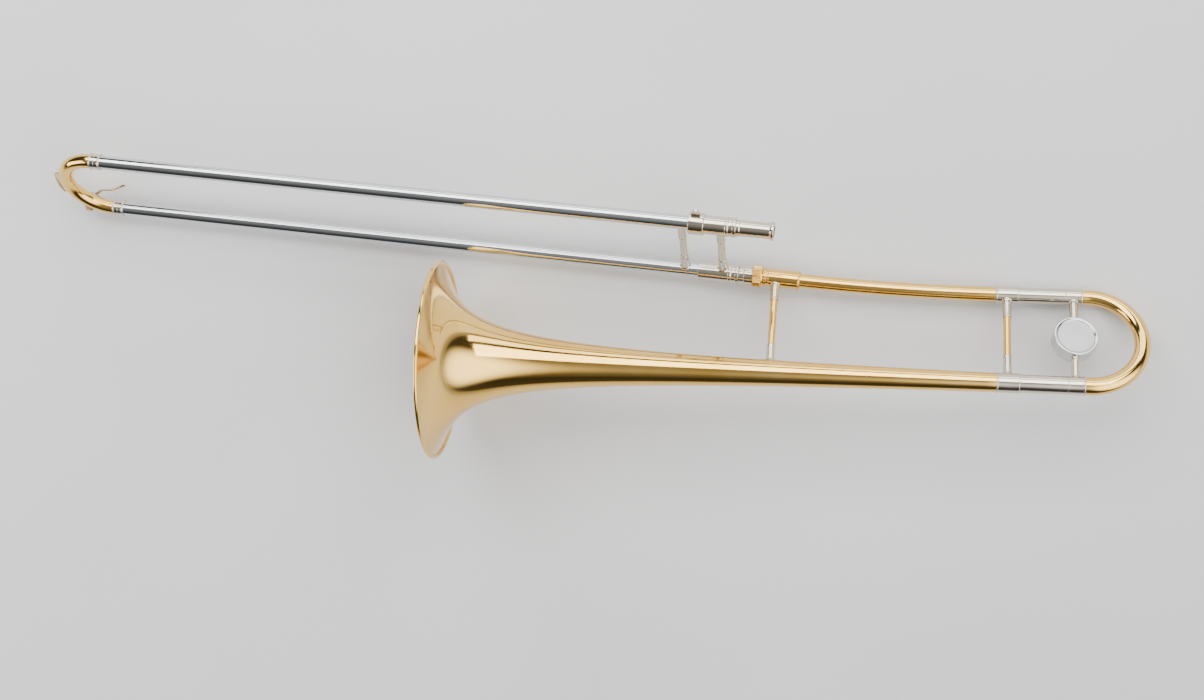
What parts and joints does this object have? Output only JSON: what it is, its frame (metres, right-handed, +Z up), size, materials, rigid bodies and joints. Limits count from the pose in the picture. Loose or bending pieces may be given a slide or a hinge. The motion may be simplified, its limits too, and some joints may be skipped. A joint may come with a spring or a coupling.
{
  "type": "trombone",
  "caption": "Tenor trombone with a telescoping hand slide, tuning slide with counterweight, flared bell and water key, assembled and lying on its bell rim and slide.",
  "frame": {"origin": "centre of the mouthpiece receiver's mouth", "axes": "+X out of that mouth towards the player, along the hand slide; +Z up as the instrument lies on a floor; the bell is on the -Y side"},
  "size_m": [1.1606, 0.2794, 0.2109],
  "materials": {
    "lacquered_brass": "polished, clear lacquer",
    "nickel_silver": "polished nickel silver",
    "chromed_tube": "bright plate",
    "counterweight": "bright rim, satin face",
    "rim_wire": "drawn wire",
    "bumper_felt": "pressed felt",
    "key_cork": "natural cork",
    "spring_steel": "drawn wire"
  },
  "bodies": {
    "bell_section": {"bell": "lacquered_brass", "rim_wire": "rim_wire", "bell_ferrule": "nickel_silver", "bell_receiver_tube": "nickel_silver", "gooseneck": "lacquered_brass", "neck_ferrule": "nickel_silver", "neck_receiver_tube": "nickel_silver", "receiver_sleeve": "lacquered_brass", "receiver_socket": "lacquered_brass", "front_brace_tube": "lacquered_brass", "front_brace_sockets": "nickel_silver", "bell_saddle": "nickel_silver", "rear_brace_tube": "lacquered_brass", "rear_brace_sockets": "nickel_silver"},
    "lock_nut": {"lock_nut": "lacquered_brass"},
    "tuning_slide": {"tuning_bow": "lacquered_brass", "tuning_leg_upper": "nickel_silver", "tuning_leg_lower": "nickel_silver", "tuning_ferrule_upper": "nickel_silver", "tuning_ferrule_lower": "nickel_silver", "weight_post_upper": "nickel_silver", "weight_post_lower": "nickel_silver", "counterweight": "counterweight", "weight_cover": "counterweight"},
    "tenon": {"tenon": "nickel_silver"},
    "inner_slide": {"mouthpiece_receiver": "nickel_silver", "leadpipe": "lacquered_brass", "barrel_upper": "nickel_silver", "barrel_lower": "nickel_silver", "inner_tube_upper": "chromed_tube", "inner_tube_lower": "chromed_tube", "inner_brace_tube": "nickel_silver", "inner_brace_sockets": "nickel_silver", "bumper_upper": "bumper_felt", "bumper_lower": "bumper_felt", "lock_screw": "nickel_silver"},
    "slide_lock": {"lock_ring": "nickel_silver"},
    "outer_slide": {"outer_tube_upper": "chromed_tube", "outer_tube_lower": "chromed_tube", "bow_ferrule_upper": "nickel_silver", "bow_ferrule_lower": "nickel_silver", "slide_bow": "lacquered_brass", "bow_guard": "nickel_silver", "outer_brace_tube": "nickel_silver", "outer_brace_sockets": "nickel_silver", "lock_catch": "nickel_silver", "key_nipple": "lacquered_brass", "key_saddle": "nickel_silver", "key_screw": "nickel_silver", "key_spring": "spring_steel"},
    "water_key": {"water_key": "nickel_silver", "key_cork": "key_cork"}
  },
  "joints": [
    {"name": "nut_turn", "type": "hinge", "parent": "bell_section", "child": "lock_nut", "pos_m": [-0.018, -0.05208, -0.06398], "axis": [1, 0, 0], "continuous": true},
    {"name": "tuning_pull", "type": "slide", "parent": "bell_section", "child": "tuning_slide", "axis": [0.9962, 0.0676, -0.055], "range_m": [0, 0.05]},
    {"name": "slide_pull_off", "type": "slide", "parent": "bell_section", "child": "tenon", "axis": [-1, 0, 0], "range_m": [0, 0.045]},
    {"name": "bell_angle", "type": "hinge", "parent": "tenon", "child": "inner_slide", "pos_m": [0, -0.05208, -0.06398], "axis": [1, 0, 0], "range_deg": [-20, 20]},
    {"name": "lock_turn", "type": "hinge", "parent": "inner_slide", "child": "slide_lock", "pos_m": [-0.078, 0, 0], "axis": [1, 0, 0], "range_deg": [0, 35]},
    {"name": "slide_travel", "type": "slide", "parent": "inner_slide", "child": "outer_slide", "axis": [-1, 0, 0], "range_m": [0, 0.61]},
    {"name": "key_press", "type": "hinge", "parent": "outer_slide", "child": "water_key", "pos_m": [-0.75892, -0.04246, -0.06959], "axis": [0.8192, -0.3621, -0.4448], "range_deg": [0, 18], "stiffness_Nm_per_rad": 0.05, "springref_deg": -22.92}
  ]
}
